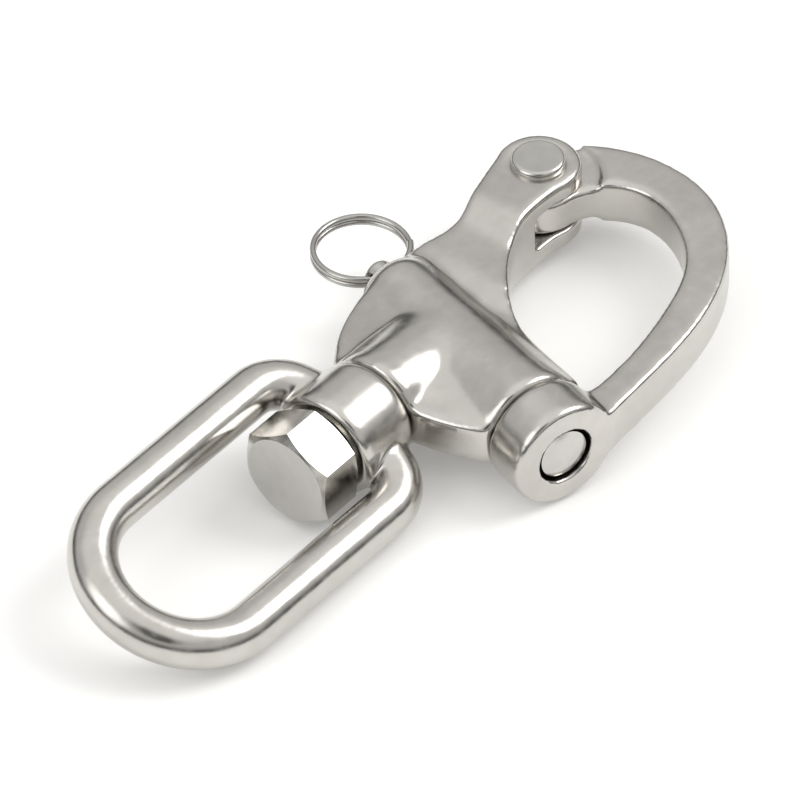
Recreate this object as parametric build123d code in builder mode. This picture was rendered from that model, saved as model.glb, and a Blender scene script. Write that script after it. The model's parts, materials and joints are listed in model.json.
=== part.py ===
from build123d import *
import os
from math import cos, radians, sin

os.makedirs("parts", exist_ok=True)

# Swivel-eye snap shackle, polished stainless steel, lying on its side.
# Frame: +X runs along the swivel axis from the eye to the bail, +Z is the hinge rivet's axis,
# and the origin is the centre of the eye's round end. All lengths are in millimetres.

# ---------------------------------------------------------------- driving dimensions

# Swivel eye: a bent round rod joined to a bored collar
eye_rod_r = 3.9
eye_half_pitch = 13.8
eye_shoulder_r = 6.8
eye_rest_turn = 19.0
collar_r = 8.7
collar_start = 32.4
collar_length = 11.3
collar_front_round = 0.9
collar_back_round = 1.6

# Swivel bolt: hexagon head, round bearing neck up to the collar, shank into the body
bolt_shank_r = 5.0
bolt_running_clearance = 0.1
bolt_neck_r = 6.2
bolt_neck_length = 0.8
bolt_head_flats = 15.0
bolt_head_height = 7.9
bolt_thread_length = 9.0
bolt_point_chamfer = 0.8
head_face_inset = 0.4
head_front_chamfer = 0.9
head_back_chamfer = 0.6
face_gap = 0.25

# Body: neck, web, cross tube for the plunger, and the two ears of the fork
body_start = collar_start + collar_length + face_gap
neck_r = 8.2
neck_waist_r = 6.9
neck_waist_at = 12.0
body_edge = 0.6
web_half = 3.65
fork_neck_half = 4.8
ear_half = 6.6
ear_r = 6.7
slot_half = 3.2
slot_root = 88.7
web_end = 67.5
fork_neck_start = 73.5
fork_neck_end = 79.5
ear_start = 85.8
hinge_x = 96.5
hinge_y = 10.2

# Latch line: the plunger's axis, crossing the swivel axis at a slant.
# Distances along it are counted from the crossing, positive towards the bail's boss.
latch_x = 62.1
latch_tilt = radians(16.5)
tube_tail_end = -16.0
tube_tail_r = 6.6
tube_tail_dome = 4.2
tube_tail_flat_r = 4.0
tube_mouth_end = 22.6
tube_mouth_r = 8.7

# Plunger and its bores
plunger_r = 4.0
plunger_bore_r = 4.06
stem_r = 2.4
stem_bore_r = 2.5
plunger_tip = 31.1
plunger_dome = 0.9
plunger_shoulder = 4.0
spring_seat = -10.4
stem_end = -19.4
stem_end_round = 1.0
ring_hole_at = -17.4
ring_hole_r = 1.4
ring_hole_mouth_r = 2.2
ring_hole_half_reach = 3.0

# Spring
spring_wire_r = 0.4
spring_mean_r = 3.25
spring_turns = 5.5
spring_end_gap = 0.05

# Split ring
ring_wire_r = 0.5
ring_pitch = 1.04
ring_turns = 2
ring_mean_r = 7.4
ring_yaw = -8.5
ring_ends_turn = 70.0

# Bail
bail_half = 4.0
tongue_half = 3.0
tongue_r = 6.5
tongue_step_r = 9.6
boss_r = 8.85
boss_start = 22.9
boss_end = 31.0
boss_inner_round = 0.6
boss_outer_round = 1.0
boss_bore_r = 4.7
boss_bore_chamfer = 0.2

# Hinge rivet
rivet_r = 3.0
rivet_bore_r = 3.06
rivet_head_r = 4.2
rivet_head_height = 1.2
rivet_head_round = 0.7
rivet_groove_r = 4.7
rivet_groove_depth = 0.25

# ---------------------------------------------------------------- reference planes

latch_dir = Vector(-sin(latch_tilt), -cos(latch_tilt), 0)
across_dir = Vector(cos(latch_tilt), -sin(latch_tilt), 0)
latch_origin = Vector(latch_x, 0, 0)
latch_axis = Axis(latch_origin, latch_dir)
# Section plane through the latch line: local x runs along it, local y is +Z.
latch_section = Plane(origin=latch_origin, x_dir=latch_dir, z_dir=-across_dir)
hinge_point = (hinge_x, hinge_y)


def latch_plane(distance):
    """Plane square to the latch line; local x is across it, local y is +Z."""
    return Plane(origin=latch_origin + latch_dir * distance, x_dir=across_dir, z_dir=latch_dir)


def latch_point(distance, across=0):
    """Point in plan at a distance along the latch line and to its bail side."""
    point = latch_origin + latch_dir * distance + across_dir * across
    return (point.X, point.Y)


# ---------------------------------------------------------------- swivel eye

with BuildPart() as swivel_eye:
    rod_x = collar_start + collar_length / 2
    leg_end = rod_x - eye_shoulder_r
    shoulder_foot = eye_half_pitch - eye_shoulder_r
    # The eye lies with one leg on the ground, so its plane is turned about the swivel axis
    eye_plane = Plane.XY.rotated((eye_rest_turn, 0, 0))
    with BuildLine(eye_plane) as eye_line:
        Line((rod_x, eye_rod_r), (rod_x, shoulder_foot))
        RadiusArc((rod_x, shoulder_foot), (leg_end, eye_half_pitch), -eye_shoulder_r)
        Line((leg_end, eye_half_pitch), (0, eye_half_pitch))
        ThreePointArc((0, eye_half_pitch), (-eye_half_pitch, 0), (0, -eye_half_pitch))
        Line((0, -eye_half_pitch), (leg_end, -eye_half_pitch))
        RadiusArc((leg_end, -eye_half_pitch), (rod_x, -shoulder_foot), -eye_shoulder_r)
        Line((rod_x, -shoulder_foot), (rod_x, -eye_rod_r))
    with BuildSketch(Plane(origin=eye_line.wire() @ 0, z_dir=eye_line.wire() % 0)):
        Circle(eye_rod_r)
    sweep(path=eye_line.wire())
    # Collar with rounded rims, the one next to the body softer
    with BuildSketch(Plane.XZ):
        with BuildLine():
            front_top = (collar_start + collar_front_round, collar_r)
            back_top = (collar_start + collar_length - collar_back_round, collar_r)
            Line((collar_start, 0), (collar_start, collar_r - collar_front_round))
            RadiusArc((collar_start, collar_r - collar_front_round), front_top, collar_front_round)
            Line(front_top, back_top)
            back_foot = (collar_start + collar_length, collar_r - collar_back_round)
            RadiusArc(back_top, back_foot, collar_back_round)
            Line(back_foot, (collar_start + collar_length, 0))
            Line((collar_start + collar_length, 0), (collar_start, 0))
        make_face()
    revolve(axis=Axis.X)
    with BuildSketch(Plane.YZ.offset(collar_start - eye_rod_r)):
        Circle(bolt_shank_r + bolt_running_clearance)
    extrude(amount=collar_length + 2 * eye_rod_r, mode=Mode.SUBTRACT)
swivel_eye.part.label = "swivel_eye"
export_step(swivel_eye.part, "parts/swivel_eye.step")

# ---------------------------------------------------------------- swivel bolt

with BuildPart() as swivel_bolt:
    neck_end = collar_start - face_gap
    head_back = neck_end - bolt_neck_length
    head_front = head_back - bolt_head_height
    # Hexagon with a corner straight up
    with BuildSketch(Plane.YZ.offset(head_front)):
        RegularPolygon(bolt_head_flats / 2, 6, major_radius=False, rotation=90)
    extrude(amount=bolt_head_height)
    # The corners are turned off at both faces
    half_flats = bolt_head_flats / 2
    corner_r = half_flats / cos(radians(30))
    with BuildSketch(Plane.XZ):
        with BuildLine():
            Polyline(
                (head_front, 0),
                (head_front, half_flats - head_face_inset),
                (head_front + head_front_chamfer, corner_r),
                (head_back - head_back_chamfer, corner_r),
                (head_back, half_flats),
                (head_back, 0),
                close=True,
            )
        make_face()
    revolve(axis=Axis.X, mode=Mode.INTERSECT)
    with BuildSketch(Plane.YZ.offset(head_back)):
        Circle(bolt_neck_r)
    extrude(amount=bolt_neck_length)
    with BuildSketch(Plane.YZ.offset(neck_end)):
        Circle(bolt_shank_r)
    extrude(amount=body_start + bolt_thread_length - neck_end)
    chamfer(swivel_bolt.faces().sort_by(Axis.X)[-1].edges(), bolt_point_chamfer)
swivel_bolt.part.label = "swivel_bolt"
export_step(swivel_bolt.part, "parts/swivel_bolt.step")

# ---------------------------------------------------------------- body

with BuildPart() as body:
    # Outline in plan: eye-side lobe, latch mouth, waist, ear, and back along the far side
    with BuildSketch(Plane.XY):
        with BuildLine():
            far_side = Spline(
                (body_start, 7.6),
                (50.7, 11.8),
                (59.2, 14.4),
                (69.0, 15.0),
                (77.8, 13.1),
                (86.0, 14.4),
                (94.5, 16.4),
            )
            near_side = Spline(
                (95.7, 3.8),
                (88.8, 4.3),
                (82.5, 3.3),
                (74.7, -1.6),
                (69.1, -7.9),
                (66.1, -15.8),
                latch_point(tube_mouth_end, tube_mouth_r),
            )
            Line(far_side @ 1, near_side @ 0)
            Line(near_side @ 1, latch_point(tube_mouth_end, -tube_mouth_r))
            eye_lobe = Spline(
                latch_point(tube_mouth_end, -tube_mouth_r),
                (44.9, -12.8),
                (body_start, -7.6),
            )
            Line(eye_lobe @ 1, far_side @ 0)
        make_face()
        with Locations(hinge_point):
            Circle(ear_r)
    extrude(amount=ear_half, both=True)
    # Side profile: thin web, thicker fork neck, then the step out to the ears
    with BuildSketch(Plane.XZ):
        with BuildLine() as half_profile:
            ear_tip = hinge_x + 2 * ear_r
            Line((body_start, 0), (body_start, web_half))
            Line((body_start, web_half), (web_end, web_half))
            Spline((web_end, web_half), (fork_neck_start, fork_neck_half), tangents=((1, 0), (1, 0)))
            Line((fork_neck_start, fork_neck_half), (fork_neck_end, fork_neck_half))
            Spline((fork_neck_end, fork_neck_half), (ear_start, ear_half), tangents=((1, 0), (1, 0)))
            Line((ear_start, ear_half), (ear_tip, ear_half))
            Line((ear_tip, ear_half), (ear_tip, 0))
        mirror(half_profile.line, about=Plane.XZ)
        make_face()
    extrude(amount=40, both=True, mode=Mode.INTERSECT)
    # Neck: a round taper from the collar's face into the cross tube
    with BuildSketch(Plane.XZ):
        with BuildLine():
            neck_rim = (body_start + body_edge, neck_r)
            Line((body_start, 0), (body_start, neck_r - body_edge))
            Line((body_start, neck_r - body_edge), neck_rim)
            Spline(neck_rim, (body_start + neck_waist_at, neck_waist_r + 0.4), (latch_x, neck_waist_r))
            Line((latch_x, neck_waist_r), (latch_x, 0))
            Line((latch_x, 0), (body_start, 0))
        make_face()
    revolve(axis=Axis.X)
    # Cross tube, domed at the tail and flared to the mouth
    with BuildSketch(latch_section):
        with BuildLine():
            dome_end = (tube_tail_end + tube_tail_dome, tube_tail_r)
            mouth_rim = (tube_mouth_end - body_edge, tube_mouth_r)
            Line((tube_tail_end, 0), (tube_tail_end, tube_tail_flat_r))
            ThreePointArc((tube_tail_end, tube_tail_flat_r), (tube_tail_end + 1.2, tube_tail_r - 1), dome_end)
            Spline(dome_end, (0, neck_waist_r + 0.3), (tube_mouth_end - 4, tube_mouth_r - 0.3), mouth_rim)
            Line(mouth_rim, (tube_mouth_end, tube_mouth_r - body_edge))
            Line((tube_mouth_end, tube_mouth_r - body_edge), (tube_mouth_end, 0))
            Line((tube_mouth_end, 0), (tube_tail_end, 0))
        make_face()
    revolve(axis=latch_axis)
    # Slot for the bail's tongue
    with BuildSketch(Plane.XY.offset(-slot_half)):
        with Locations((slot_root, hinge_y)):
            Rectangle(4 * ear_r, 4 * ear_r, align=(Align.MIN, Align.CENTER))
    extrude(amount=2 * slot_half, mode=Mode.SUBTRACT)
    # Rivet hole, with a shallow ring groove under each head
    with BuildSketch(Plane.XY.offset(-ear_half)):
        with Locations(hinge_point):
            Circle(rivet_r)
    extrude(amount=2 * ear_half, mode=Mode.SUBTRACT)
    for side in (1, -1):
        with BuildSketch(Plane.XY.offset(side * ear_half)):
            with Locations(hinge_point):
                Circle(rivet_groove_r)
        extrude(amount=-side * rivet_groove_depth, mode=Mode.SUBTRACT)
    # Bore for the plunger's head from the mouth to the spring's seat, then the stem's bore
    with BuildSketch(latch_plane(spring_seat)):
        Circle(plunger_bore_r)
    extrude(amount=tube_mouth_end - spring_seat, mode=Mode.SUBTRACT)
    with BuildSketch(latch_plane(tube_tail_end - stem_r)):
        Circle(stem_bore_r)
    extrude(amount=spring_seat - tube_tail_end + stem_r, mode=Mode.SUBTRACT)
    # Blind hole for the swivel bolt
    with BuildSketch(Plane.YZ.offset(body_start)):
        Circle(bolt_shank_r)
    extrude(amount=bolt_thread_length, mode=Mode.SUBTRACT)
body.part.label = "body"
export_step(body.part, "parts/body.step")

# ---------------------------------------------------------------- hinge rivet

with BuildPart() as hinge_rivet:
    head_seat = ear_half - rivet_groove_depth
    with BuildSketch(Plane.XY.offset(-head_seat)):
        with Locations(hinge_point):
            Circle(rivet_r)
    extrude(amount=2 * head_seat)
    for side in (1, -1):
        with BuildSketch(Plane.XY.offset(side * head_seat)):
            with Locations(hinge_point):
                Circle(rivet_head_r)
        extrude(amount=side * rivet_head_height)
        rim = hinge_rivet.faces().sort_by(Axis.Z)[-1 if side > 0 else 0].edges()
        fillet(rim, rivet_head_round)
hinge_rivet.part.label = "hinge_rivet"
export_step(hinge_rivet.part, "parts/hinge_rivet.step")

# ---------------------------------------------------------------- plunger

with BuildPart() as plunger:
    # The tip is a shallow spherical dome
    dome_r = (plunger_r**2 + plunger_dome**2) / (2 * plunger_dome)
    with BuildSketch(latch_section):
        with BuildLine():
            end_foot = (stem_end, stem_r - stem_end_round)
            end_top = (stem_end + stem_end_round, stem_r)
            Line((stem_end, 0), end_foot)
            RadiusArc(end_foot, end_top, stem_end_round)
            Line(end_top, (plunger_shoulder, stem_r))
            Line((plunger_shoulder, stem_r), (plunger_shoulder, plunger_r))
            Line((plunger_shoulder, plunger_r), (plunger_tip - plunger_dome, plunger_r))
            RadiusArc((plunger_tip - plunger_dome, plunger_r), (plunger_tip, 0), dome_r)
            Line((plunger_tip, 0), (stem_end, 0))
        make_face()
    revolve(axis=latch_axis)
    # Cross hole for the ring, opened out at both ends
    ring_hole_centre = latch_origin + latch_dir * ring_hole_at
    with BuildSketch(Plane(origin=ring_hole_centre, x_dir=across_dir, z_dir=(0, 0, 1))):
        with BuildLine():
            Polyline(
                (-ring_hole_half_reach, 0),
                (-ring_hole_half_reach, ring_hole_mouth_r),
                (-stem_r / 2, ring_hole_r),
                (stem_r / 2, ring_hole_r),
                (ring_hole_half_reach, ring_hole_mouth_r),
                (ring_hole_half_reach, 0),
                close=True,
            )
        make_face()
    revolve(axis=Axis(ring_hole_centre, across_dir), mode=Mode.SUBTRACT)
plunger.part.label = "plunger"
export_step(plunger.part, "parts/plunger.step")

# ---------------------------------------------------------------- plunger spring

with BuildPart() as plunger_spring:
    end_margin = spring_wire_r + spring_end_gap
    coil_length = plunger_shoulder - spring_seat - 2 * end_margin
    coil = Helix(
        pitch=coil_length / spring_turns,
        height=coil_length,
        radius=spring_mean_r,
        center=latch_origin + latch_dir * (spring_seat + end_margin),
        direction=latch_dir,
    )
    with BuildSketch(Plane(origin=coil @ 0, z_dir=coil % 0)):
        Circle(spring_wire_r)
    sweep(path=coil, is_frenet=True)
plunger_spring.part.label = "plunger_spring"
export_step(plunger_spring.part, "parts/plunger_spring.step")

# ---------------------------------------------------------------- pull ring

with BuildPart() as pull_ring:
    # Touching turns that lie flat, centred on the plunger's hole; the wire's ends are beside it
    ring_away = (latch_dir * -1).rotate(Axis.Z, ring_yaw)
    ring_centre = ring_hole_centre + ring_away * ring_mean_r
    ends_away = ring_away.rotate(Axis.Z, 180 + ring_ends_turn)
    ring_frame = Plane(origin=ring_centre, x_dir=ends_away, z_dir=(0, 0, 1))
    turns = Helix(pitch=ring_pitch, height=ring_turns * ring_pitch, radius=ring_mean_r)
    lowest = -ring_pitch * ((360 - ring_ends_turn) / 360 + (ring_turns - 1) / 2)
    ring_path = ring_frame.from_local_coords(turns.moved(Location((0, 0, lowest))))
    with BuildSketch(Plane(origin=ring_path @ 0, z_dir=ring_path % 0)):
        Circle(ring_wire_r)
    sweep(path=ring_path, is_frenet=True)
pull_ring.part.label = "pull_ring"
export_step(pull_ring.part, "parts/pull_ring.step")

# ---------------------------------------------------------------- bail

with BuildPart() as bail:
    # Outline in plan: outer curve, across the boss, and the inner curve back to the tongue
    with BuildSketch(Plane.XY):
        with BuildLine():
            boss_core = latch_point(boss_end - boss_outer_round)
            outer = Spline(
                (101.1, 14.6),
                (106.4, 9.3),
                (110.8, -2.9),
                (108.6, -14.2),
                (100.1, -23.7),
                (86.6, -29.3),
                (73.5, -31.0),
                latch_point(boss_end - 0.3, boss_r - 0.6),
            )
            Line(outer @ 1, boss_core)
            Line(boss_core, latch_point(boss_start + 1.5, boss_r - 0.5))
            inner = Spline(
                latch_point(boss_start + 1.5, boss_r - 0.5),
                (74.0, -25.5),
                (84.3, -23.5),
                (94.5, -19.6),
                (101.3, -12.0),
                (103.0, -4.2),
                (100.3, 1.3),
                (95.3, 3.9),
            )
            Line(inner @ 1, outer @ 0)
        make_face()
        with Locations(hinge_point):
            Circle(tongue_r)
    extrude(amount=bail_half, both=True)
    # The tongue is thinned on both faces to a step that clears the ears
    for side in (1, -1):
        with BuildSketch(Plane.XY.offset(side * tongue_half)):
            with Locations(hinge_point):
                Circle(tongue_step_r)
        extrude(amount=side * bail_half, mode=Mode.SUBTRACT)
    # Boss on the latch line, its rims rounded
    with BuildSketch(latch_section):
        with BuildLine():
            inner_foot = (boss_start, boss_r - boss_inner_round)
            inner_top = (boss_start + boss_inner_round, boss_r)
            outer_top = (boss_end - boss_outer_round, boss_r)
            outer_foot = (boss_end, boss_r - boss_outer_round)
            Line((boss_start, 0), inner_foot)
            RadiusArc(inner_foot, inner_top, boss_inner_round)
            Line(inner_top, outer_top)
            RadiusArc(outer_top, outer_foot, boss_outer_round)
            Line(outer_foot, (boss_end, 0))
            Line((boss_end, 0), (boss_start, 0))
        make_face()
    revolve(axis=latch_axis)
    # Bore for the plunger's tip, its outer edge broken
    with BuildSketch(latch_section):
        with BuildLine():
            Polyline(
                (boss_start - 1, 0),
                (boss_start - 1, boss_bore_r),
                (boss_end - boss_bore_chamfer, boss_bore_r),
                (boss_end + boss_bore_chamfer, boss_bore_r + 2 * boss_bore_chamfer),
                (boss_end + boss_bore_chamfer, 0),
                close=True,
            )
        make_face()
    revolve(axis=latch_axis, mode=Mode.SUBTRACT)
    # Pivot hole
    with BuildSketch(Plane.XY.offset(-bail_half)):
        with Locations(hinge_point):
            Circle(rivet_bore_r)
    extrude(amount=2 * bail_half, mode=Mode.SUBTRACT)
bail.part.label = "bail"
export_step(bail.part, "parts/bail.step")
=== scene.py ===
import json
import math

import bpy
import numpy as np
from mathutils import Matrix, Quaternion, Vector


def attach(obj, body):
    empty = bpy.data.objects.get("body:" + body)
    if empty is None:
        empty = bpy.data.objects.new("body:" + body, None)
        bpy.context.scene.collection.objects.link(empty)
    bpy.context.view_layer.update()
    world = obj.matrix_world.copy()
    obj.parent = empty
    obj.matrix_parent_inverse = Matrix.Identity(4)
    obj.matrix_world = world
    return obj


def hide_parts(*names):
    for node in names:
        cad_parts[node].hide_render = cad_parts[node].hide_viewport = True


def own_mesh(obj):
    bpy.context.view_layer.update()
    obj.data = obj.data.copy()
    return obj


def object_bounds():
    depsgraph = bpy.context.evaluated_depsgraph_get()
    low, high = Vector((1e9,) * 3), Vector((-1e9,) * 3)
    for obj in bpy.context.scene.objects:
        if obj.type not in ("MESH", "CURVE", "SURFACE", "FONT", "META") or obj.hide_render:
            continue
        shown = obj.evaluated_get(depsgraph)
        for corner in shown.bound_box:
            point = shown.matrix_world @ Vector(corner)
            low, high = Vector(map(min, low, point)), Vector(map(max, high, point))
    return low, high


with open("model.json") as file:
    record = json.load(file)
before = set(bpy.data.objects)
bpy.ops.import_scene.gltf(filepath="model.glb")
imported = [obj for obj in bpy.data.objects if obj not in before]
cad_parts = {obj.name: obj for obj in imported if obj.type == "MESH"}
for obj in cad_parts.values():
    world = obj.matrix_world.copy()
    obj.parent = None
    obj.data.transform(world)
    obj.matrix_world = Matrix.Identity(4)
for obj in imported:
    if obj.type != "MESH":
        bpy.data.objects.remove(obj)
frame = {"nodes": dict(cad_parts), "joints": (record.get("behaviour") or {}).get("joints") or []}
cad_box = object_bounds()
nodes = frame["nodes"]

MM = 0.001

# ---------------------------------------------------- places from the CAD, in metres

joints = {j["name"]: j for j in frame["joints"]}
LATCH_AWAY = Vector(joints["plunger_slide"]["axis"]).normalized()
LATCH = -LATCH_AWAY
ACROSS = Vector((-LATCH.y, LATCH.x, 0.0))
HINGE = Vector(joints["bail_hinge"]["pos_m"])
RING_HOLE = Vector(joints["ring_swing"]["pos_m"])
CROSSING = RING_HOLE - LATCH_AWAY * (RING_HOLE.y / LATCH_AWAY.y)


def smoothstep(lo, hi, x):
    t = np.clip((x - lo) / (hi - lo), 0.0, 1.0)
    return t * t * (3 - 2 * t)


# ---------------------------------------------------- materials


class Nodes:
    """Small helper to write a node tree in few lines."""

    def __init__(self, name):
        self.mat = bpy.data.materials.new(name)
        self.mat.use_nodes = True
        self.tree = self.mat.node_tree
        self.bsdf = self.tree.nodes["Principled BSDF"]

    def add(self, kind, **settings):
        node = self.tree.nodes.new(kind)
        for key, value in settings.items():
            setattr(node, key, value)
        return node

    def link(self, source, target):
        self.tree.links.new(source, target)

    def noise(self, vector, scale, detail=3.0, roughness=0.5):
        n = self.add("ShaderNodeTexNoise")
        n.inputs["Scale"].default_value = scale
        n.inputs["Detail"].default_value = detail
        n.inputs["Roughness"].default_value = roughness
        self.link(vector, n.inputs["Vector"])
        return n.outputs["Fac"]

    def ramp(self, fac, stops):
        r = self.add("ShaderNodeValToRGB")
        elements = r.color_ramp.elements
        while len(elements) < len(stops):
            elements.new(0.5)
        for element, (at, colour) in zip(elements, stops):
            element.position = at
            element.color = (*colour, 1.0)
        self.link(fac, r.inputs["Fac"])
        return r.outputs["Color"]

    def remap(self, fac, lo, hi, out_lo, out_hi):
        m = self.add("ShaderNodeMapRange")
        for key, value in zip(("From Min", "From Max", "To Min", "To Max"), (lo, hi, out_lo, out_hi)):
            m.inputs[key].default_value = value
        self.link(fac, m.inputs["Value"])
        return m.outputs["Result"]

    def math(self, operation, a, b):
        m = self.add("ShaderNodeMath", operation=operation)
        for socket, value in zip(m.inputs, (a, b)):
            if isinstance(value, (int, float)):
                socket.default_value = value
            else:
                self.link(value, socket)
        return m.outputs[0]

    def bump(self, height, strength, distance, normal=None):
        b = self.add("ShaderNodeBump")
        b.inputs["Strength"].default_value = strength
        b.inputs["Distance"].default_value = distance
        self.link(height, b.inputs["Height"])
        if normal is not None:
            self.link(normal, b.inputs["Normal"])
        return b.outputs["Normal"]


def steel(name, bright, dark, rough, wave, scratch, grain_dir=None):
    """Polished stainless steel: slow waviness, fine wiping scratches, faint stains in the colour."""
    m = Nodes(name)
    m.bsdf.inputs["Metallic"].default_value = 1.0
    where = m.add("ShaderNodeTexCoord").outputs["Object"]
    slow = m.noise(where, 90.0, 3.0)
    cloud = m.noise(where, 420.0, 4.0, 0.6)
    stretch = m.add("ShaderNodeMapping")
    stretch.inputs["Rotation"].default_value = grain_dir or (0.3, 0.2, 0.75)
    stretch.inputs["Scale"].default_value = (1.0, 16.0, 9.0)
    m.link(where, stretch.inputs["Vector"])
    lines = m.noise(stretch.outputs["Vector"], 900.0, 5.0, 0.65)
    stain = m.math("ADD", m.math("MULTIPLY", slow, 0.6), m.math("MULTIPLY", cloud, 0.4))
    m.link(m.ramp(stain, [(0.36, dark), (0.64, bright)]), m.bsdf.inputs["Base Color"])
    patchy = m.remap(cloud, 0.3, 0.7, rough * 0.75, rough * 1.25)
    wiped = m.remap(lines, 0.45, 0.75, 0.0, 0.05)
    m.link(m.math("ADD", patchy, wiped), m.bsdf.inputs["Roughness"])
    normal = m.bump(slow, wave, 0.004)
    normal = m.bump(lines, scratch, 0.0002, normal)
    m.link(normal, m.bsdf.inputs["Normal"])
    return m.mat


cast_steel = steel("polished_cast", (0.615, 0.597, 0.565), (0.535, 0.517, 0.487), 0.20, 0.05, 0.05)
TURNED_GRAIN = (0.0, 0.0, 0.3)
turned_steel = steel("turned_steel", (0.60, 0.588, 0.562), (0.53, 0.518, 0.492), 0.13, 0.02, 0.08,
                     TURNED_GRAIN)
wire_steel = steel("spring_wire", (0.50, 0.49, 0.47), (0.38, 0.37, 0.355), 0.14, 0.0, 0.05)

# ---------------------------------------------------- cast pieces, softened from their CAD shape


def remeshed(node, voxel):
    """A fine, even copy of a CAD node's mesh as a new object."""
    source = nodes[node]
    copy = bpy.data.objects.new(node + "_cast", source.data.copy())
    bpy.context.scene.collection.objects.link(copy)
    weld = copy.modifiers.new("weld", "WELD")
    weld.merge_threshold = 1e-6
    remesh = copy.modifiers.new("remesh", "REMESH")
    remesh.mode = "VOXEL"
    remesh.voxel_size = voxel
    remesh.use_smooth_shade = True
    bpy.context.view_layer.update()
    evaluated = copy.evaluated_get(bpy.context.evaluated_depsgraph_get())
    mesh = bpy.data.meshes.new_from_object(evaluated)
    copy.modifiers.clear()
    copy.data = mesh
    return copy


def neighbours(mesh):
    """Edge list as two arrays, and each vertex's number of edges."""
    e = np.zeros(len(mesh.edges) * 2, np.int64)
    mesh.edges.foreach_get("vertices", e)
    e = e.reshape(-1, 2)
    return e, np.bincount(e.ravel(), minlength=len(mesh.vertices)).astype(float)


def relax(co, edges, count, weight, steps, factor=0.5):
    """Moves each point towards its neighbours' mean; weight is 0 where a point is held."""
    a, b = edges[:, 0], edges[:, 1]
    for _ in range(steps):
        total = np.empty_like(co)
        for k in range(3):
            total[:, k] = np.bincount(a, co[b, k], len(co)) + np.bincount(b, co[a, k], len(co))
        co = co + (total / count[:, None] - co) * (weight * factor)[:, None]
    return co


def get_co(mesh):
    co = np.zeros(len(mesh.vertices) * 3)
    mesh.vertices.foreach_get("co", co)
    return co.reshape(-1, 3)


def set_co(mesh, co):
    mesh.vertices.foreach_set("co", co.astype(np.float32).ravel())
    mesh.update()


def filled(co, edges, count, weight, steps=700):
    """Stretches a skin over each hollow of the upper and lower faces; weight is how far to follow it."""
    a, b = edges[:, 0], edges[:, 1]
    z = np.abs(co[:, 2])
    floor_z = z.copy()
    held = weight <= 0
    for _ in range(steps):
        mean = (np.bincount(a, z[b], len(z)) + np.bincount(b, z[a], len(z))) / count
        z = np.where(held, floor_z, np.maximum(floor_z, mean))
    co = co.copy()
    co[:, 2] = np.sign(co[:, 2]) * (floor_z + (z - floor_z) * weight)
    return co


def cast(node, voxel, body, material, steps, weight_of, fill_of=None):
    """Puts a softened copy of a CAD node in its place."""
    piece = remeshed(node, voxel)
    mesh = piece.data
    co = get_co(mesh)
    edges, count = neighbours(mesh)
    co = relax(co, edges, count, np.ones(len(co)), 2)
    if fill_of is not None:
        co = filled(co, edges, count, fill_of(co))
    co = relax(co, edges, count, weight_of(co), steps)
    set_co(mesh, co)
    mesh.polygons.foreach_set("use_smooth", [True] * len(mesh.polygons))
    mesh.materials.clear()
    mesh.materials.append(material)
    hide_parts(node)
    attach(piece, body)


def along(co, origin, direction):
    """Distance along a line and distance from it."""
    rel = co - np.array(origin)
    s = rel @ np.array(direction)
    return s, np.linalg.norm(rel - s[:, None] * np.array(direction), axis=1)


def body_weight(co):
    """How far each point of the body may be smoothed."""
    _, r = along(co, CROSSING, LATCH)
    z = np.abs(co[:, 2])
    hx = np.hypot(co[:, 0] - HINGE.x, co[:, 1] - HINGE.y)
    w = np.ones(len(co))
    # Bores and their faces stay true
    w *= smoothstep(4.3 * MM, 5.2 * MM, r)
    _, axis_r = along(co, (0, 0, 0), (1, 0, 0))
    w *= 1 - (1 - smoothstep(5.3 * MM, 6.2 * MM, axis_r)) * (co[:, 0] < 54 * MM)
    # Slot, ears' faces and rivet seats
    w *= 1 - (1 - smoothstep(3.2 * MM, 4.2 * MM, z)) * (co[:, 0] > 87 * MM) * 0.9
    w *= 0.25 + 0.75 * smoothstep(5.0 * MM, 6.4 * MM, hx)
    return w


def body_fill(co):
    """Fills the hollows on the eye's side of the cross tube, and less so along its far side."""
    across = (co - np.array(CROSSING)) @ np.array(-ACROSS if ACROSS.x > 0 else ACROSS)
    _, r = along(co, CROSSING, LATCH)
    _, axis_r = along(co, (0, 0, 0), (1, 0, 0))
    w = 0.75 * smoothstep(-1.0 * MM, 3.0 * MM, across) * (co[:, 0] > 47 * MM)
    w = np.maximum(w, 0.45 * smoothstep(-13.0 * MM, -9.0 * MM, across) * (co[:, 0] > 60 * MM))
    return w * (r > 4.4 * MM) * (axis_r > 5.4 * MM)


def eye_weight(co):
    """The rod is softened most and the collar less; the collar's bore is held."""
    _, r = along(co, (0, 0, 0), (1, 0, 0))
    w = 0.25 + 0.75 * smoothstep(6.5 * MM, 9.0 * MM, r)
    w = np.where(co[:, 0] < 29 * MM, 1.0, w)
    return w * np.where((co[:, 0] > 31.5 * MM) & (r < 5.6 * MM), 0.0, 1.0)


def bail_weight(co):
    """Edges are rounded by smoothing; the boss's bore and the tongue's rivet bore are nearly held."""
    _, r = along(co, CROSSING, LATCH)
    hx = np.hypot(co[:, 0] - HINGE.x, co[:, 1] - HINGE.y)
    return smoothstep(4.6 * MM, 6.4 * MM, r) * (0.15 + 0.85 * smoothstep(3.6 * MM, 7.5 * MM, hx))


cast("body", 0.34 * MM, "frame", cast_steel, 30, body_weight, body_fill)
cast("bail", 0.34 * MM, "bail", cast_steel, 16, bail_weight)
cast("swivel_eye", 0.30 * MM, "eye", cast_steel, 20, eye_weight)

# ---------------------------------------------------- turned pieces keep their CAD shape

TURNED = {
    "swivel_bolt": turned_steel,
    "hinge_rivet": turned_steel,
    "plunger": turned_steel,
    "pull_ring": wire_steel,
}
for name, material in TURNED.items():
    if not nodes[name].material_slots:
        nodes[name].data.materials.append(material)
    for slot in nodes[name].material_slots:
        slot.material = material

# ---------------------------------------------------- spring, a coil wound along the latch axis over the CAD spring's length


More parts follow.
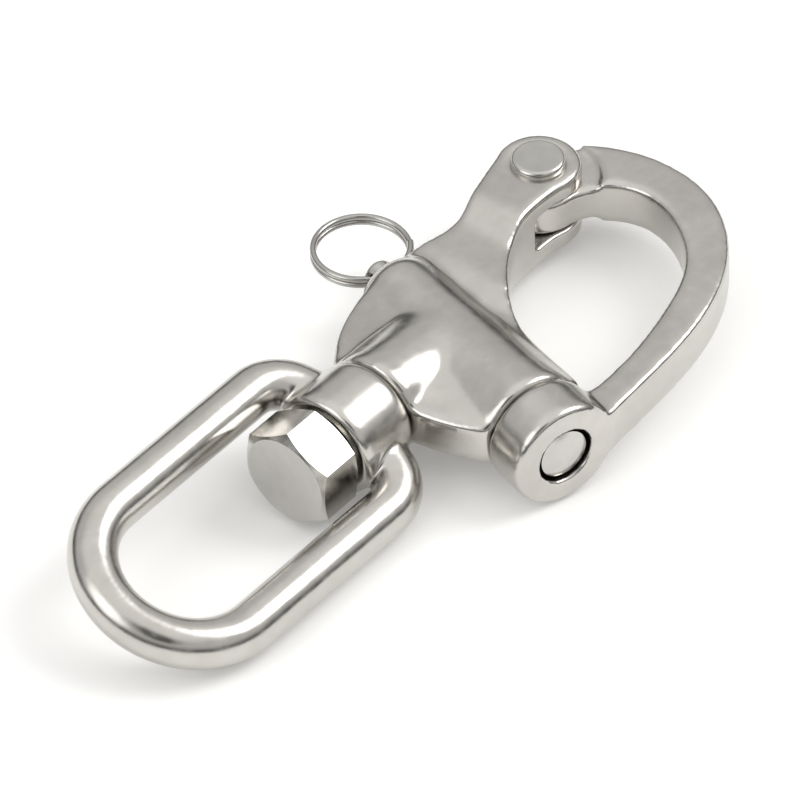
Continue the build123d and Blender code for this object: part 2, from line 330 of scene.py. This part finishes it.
def coil(name, start, end, mean_r, wire_r, turns, around=14, per_turn=40):
    """Round wire wound about the latch axis, with the wire's two ends capped."""
    side, up = ACROSS, Vector((0.0, 0.0, 1.0))
    rings = int(turns * per_turn) + 1
    verts, faces = [], []
    rise = (end - start) / (rings - 1)
    for i in range(rings):
        angle = 2 * math.pi * i / per_turn
        out = side * math.cos(angle) + up * math.sin(angle)
        centre = CROSSING + LATCH * (start + rise * i) + out * mean_r
        for k in range(around):
            bend = 2 * math.pi * k / around
            verts.append(centre + out * (wire_r * math.cos(bend)) + LATCH * (wire_r * math.sin(bend)))
    for i in range(rings - 1):
        for k in range(around):
            nxt = (k + 1) % around
            faces.append((i * around + k, i * around + nxt, (i + 1) * around + nxt, (i + 1) * around + k))
    faces.append(tuple(range(around)))
    faces.append(tuple(reversed(range((rings - 1) * around, rings * around))))
    mesh = bpy.data.meshes.new(name)
    mesh.from_pydata(verts, [], faces)
    mesh.polygons.foreach_set("use_smooth", [True] * len(mesh.polygons))
    mesh.update()
    piece = bpy.data.objects.new(name, mesh)
    bpy.context.scene.collection.objects.link(piece)
    return piece


cad_spring = nodes["plunger_spring"]
reach = [(cad_spring.matrix_world @ v.co - CROSSING).dot(LATCH) for v in cad_spring.data.vertices]
WIRE_R = 0.4 * MM
COIL_R = 3.25 * MM
COIL_TURNS = 5.5
spring = coil("spring_coil", min(reach) + WIRE_R, max(reach) - WIRE_R, COIL_R, WIRE_R, COIL_TURNS)
spring.data.materials.append(wire_steel)
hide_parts("plunger_spring")
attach(spring, "frame")
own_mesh(spring)

# ---------------------------------------------------- floor

lowest = cad_box[0].z
floor_mesh = bpy.data.meshes.new("floor")
FLOOR_HALF = 3.0
corners = [(x * FLOOR_HALF, y * FLOOR_HALF, 0) for x, y in ((-1, -1), (1, -1), (1, 1), (-1, 1))]
floor_mesh.from_pydata(corners, [], [(0, 1, 2, 3)])
floor = bpy.data.objects.new("floor", floor_mesh)
floor.location = (0.05, 0.0, lowest - 0.0002)
bpy.context.scene.collection.objects.link(floor)
m = Nodes("floor_paper")
paper = m.noise(m.add("ShaderNodeTexCoord").outputs["Object"], 60.0, 4.0)
m.link(m.ramp(paper, [(0.3, (0.93, 0.93, 0.925)), (0.7, (0.96, 0.96, 0.955))]), m.bsdf.inputs["Base Color"])
m.bsdf.inputs["Roughness"].default_value = 0.9
m.bsdf.inputs["Emission Color"].default_value = (1.0, 0.995, 0.98, 1.0)
m.bsdf.inputs["Emission Strength"].default_value = 0.16
floor_mesh.materials.append(m.mat)

# ---------------------------------------------------- light: a soft tent with a dark band low down

bpy.context.scene.view_settings.view_transform = "Standard"
world = bpy.data.worlds.new("studio")
bpy.context.scene.world = world
world.use_nodes = True
wt = world.node_tree
background = wt.nodes["Background"]
direction = wt.nodes.new("ShaderNodeTexCoord").outputs["Generated"]


def world_node(kind, inputs, **settings):
    node = wt.nodes.new(kind)
    for key, value in settings.items():
        setattr(node, key, value)
    for index, value in enumerate(inputs):
        if isinstance(value, bpy.types.NodeSocket):
            wt.links.new(value, node.inputs[index])
        else:
            node.inputs[index].default_value = value
    return node


def world_math(operation, *inputs):
    return world_node("ShaderNodeMath", inputs, operation=operation).outputs[0]


def soft_step(value, lo, hi, low, high):
    node = world_node("ShaderNodeMapRange", [value, lo, hi, low, high], interpolation_type="SMOOTHERSTEP")
    return node.outputs[0]


def cone(towards, inner_deg, outer_deg, outside, inside):
    """One value inside a cone round a direction, another outside it, and a soft change between."""
    dot = world_node("ShaderNodeVectorMath", [direction, towards], operation="DOT_PRODUCT")
    lo, hi = math.cos(math.radians(outer_deg)), math.cos(math.radians(inner_deg))
    return soft_step(dot.outputs["Value"], lo, hi, outside, inside)


def panel(towards, inner_deg, outer_deg, level):
    """A round soft box in a direction; its light fades from the inner to the outer angle."""
    return cone(Vector(towards).normalized(), inner_deg, outer_deg, 0.0, level)


height = world_node("ShaderNodeSeparateXYZ", [direction]).outputs["Z"]
level = soft_step(height, 0.04, 0.46, 0.05, 0.68)
level = world_math("ADD", level, soft_step(height, 0.55, 0.95, 0.0, 0.35))
for towards, inner_deg, outer_deg, strength in (
    ((0.56, -0.40, 0.73), 11, 20, 4.2),
    ((-0.80, 0.25, 0.55), 12, 26, 1.4),
):
    level = world_math("ADD", level, panel(towards, inner_deg, outer_deg, strength))
# A dark patch where the photographer stands, seen in the faces turned towards the viewer
level = world_math("MULTIPLY", level, cone(Vector((-0.563, -0.471, 0.679)), 9, 20, 1.0, 0.10))
seen = wt.nodes.new("ShaderNodeLightPath").outputs["Is Camera Ray"]
unseen = world_math("SUBTRACT", 1.0, seen)
mixed = world_math("ADD", world_math("MULTIPLY", level, unseen), seen)
wt.links.new(mixed, background.inputs["Strength"])
background.inputs["Color"].default_value = (1.0, 0.995, 0.985, 1.0)

# ---------------------------------------------------- camera, at the photograph's angle

AZIMUTH, ELEVATION, ROLL = -50.1, 42.74, -1.2
VIEW_WIDTH = 0.1195
LENS = 600.0
a, e = math.radians(AZIMUTH), math.radians(ELEVATION)
back = Vector((math.sin(a) * math.cos(e), -math.cos(a) * math.cos(e), math.sin(e)))
camera_data = bpy.data.cameras.new("camera")
camera = bpy.data.objects.new("camera", camera_data)
bpy.context.scene.collection.objects.link(camera)
camera_data.lens = LENS
camera.rotation_mode = "QUATERNION"
turn = (-back).to_track_quat("-Z", "Y") @ Quaternion((0, 0, 1), math.radians(ROLL))
camera.rotation_quaternion = turn
aim = Vector((0.045, 0.0, 0.0)) + turn @ Vector((0.0035, 0.0004, 0.0))
camera.location = aim + back * (VIEW_WIDTH * LENS / camera_data.sensor_width)
camera_data.clip_start, camera_data.clip_end = 0.05, 20.0
bpy.context.scene.camera = camera
